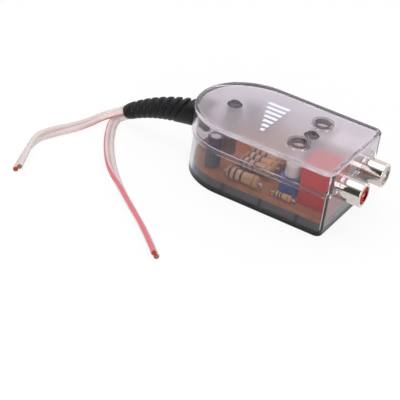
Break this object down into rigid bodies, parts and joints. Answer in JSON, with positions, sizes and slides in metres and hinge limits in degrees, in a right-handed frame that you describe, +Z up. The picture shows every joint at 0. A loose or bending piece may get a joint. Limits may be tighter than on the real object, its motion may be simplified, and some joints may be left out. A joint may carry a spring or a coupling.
{
  "type": "line output converter",
  "caption": "Line output converter in a clear D-shaped case: twin speaker leads enter through a ribbed boot, phono jacks stand out of the flat end, and level trimmers show under collared holes.",
  "frame": {"origin": "middle of the case's length and width, on the underside of its base", "axes": "+X runs from the round end with the leads to the flat end with the jacks, +Z is up, +Y is to the left as seen from the leads looking toward the jacks"},
  "size_m": [0.1112, 0.084, 0.0247],
  "materials": {
    "clear_cover": "frosted inside the top, clear walls",
    "clear_shell": "clear, faintly smoky",
    "base_plastic": "black, satin",
    "screw_steel": "black",
    "board_substrate": "brown phenolic board",
    "solder": "satin solder",
    "boot_rubber": "black, satin",
    "resistor_body": "tan lacquer with dark bands",
    "tinned_wire": "bright tinned wire",
    "red_jack_plastic": "moulded red",
    "white_jack_plastic": "moulded white",
    "nickel": "polished nickel plate",
    "contact_metal": "tinned spring metal",
    "trimmer_body": "blue",
    "trimmer_rotor": "off-white",
    "capacitor_metal": "brushed can top",
    "capacitor_sleeve": "dark grey shrink sleeve",
    "film_capacitor_body": "dark maroon dip",
    "clear_wire": "clear insulation over copper strands",
    "copper": "bare copper strands, cut"
  },
  "bodies": {
    "case": {"top_cover": "clear_cover", "lower_shell": "clear_shell", "base_tray": "base_plastic", "case_screws": "screw_steel", "circuit_board": "board_substrate", "solder_joints": "solder", "strain_relief": "boot_rubber", "load_resistor_1": "resistor_body", "load_resistor_1_leads": "tinned_wire", "load_resistor_2": "resistor_body", "load_resistor_2_leads": "tinned_wire", "load_resistor_3": "resistor_body", "load_resistor_3_leads": "tinned_wire", "load_resistor_4": "resistor_body", "load_resistor_4_leads": "tinned_wire", "load_resistor_5": "resistor_body", "load_resistor_5_leads": "tinned_wire", "load_resistor_6": "resistor_body", "load_resistor_6_leads": "tinned_wire", "right_jack_housing": "red_jack_plastic", "right_jack_barrel": "nickel", "right_jack_insulator": "red_jack_plastic", "right_jack_contact": "contact_metal", "right_jack_ground_tag": "contact_metal", "right_trimmer_base": "trimmer_body", "right_trimmer_pins": "tinned_wire", "right_divider_resistor": "resistor_body", "right_divider_resistor_leads": "tinned_wire", "right_capacitor_can": "capacitor_metal", "right_capacitor_sleeve": "capacitor_sleeve", "right_capacitor_leads": "tinned_wire", "right_film_capacitor": "film_capacitor_body", "right_film_capacitor_leads": "tinned_wire", "right_lead_tails": "clear_wire", "right_speaker_lead": "clear_wire", "right_lead_cores": "copper", "left_jack_housing": "white_jack_plastic", "left_jack_barrel": "nickel", "left_jack_insulator": "white_jack_plastic", "left_jack_contact": "contact_metal", "left_jack_ground_tag": "contact_metal", "left_trimmer_base": "trimmer_body", "left_trimmer_pins": "tinned_wire", "left_divider_resistor": "resistor_body", "left_divider_resistor_leads": "tinned_wire", "left_capacitor_can": "capacitor_metal", "left_capacitor_sleeve": "capacitor_sleeve", "left_capacitor_leads": "tinned_wire", "left_film_capacitor": "film_capacitor_body", "left_film_capacitor_leads": "tinned_wire", "left_lead_tails": "clear_wire", "left_speaker_lead": "clear_wire", "left_lead_cores": "copper"},
    "right_level": {"right_trimmer_rotor": "trimmer_rotor"},
    "left_level": {"left_trimmer_rotor": "trimmer_rotor"}
  },
  "joints": [
    {"name": "right_level_turn", "type": "hinge", "parent": "case", "child": "right_level", "pos_m": [0.0118, -0.0085, 0.0127], "axis": [0, 0, 1], "range_deg": [-130, 130]},
    {"name": "left_level_turn", "type": "hinge", "parent": "case", "child": "left_level", "pos_m": [0.0118, 0.0085, 0.0127], "axis": [0, 0, 1], "range_deg": [-130, 130]}
  ]
}
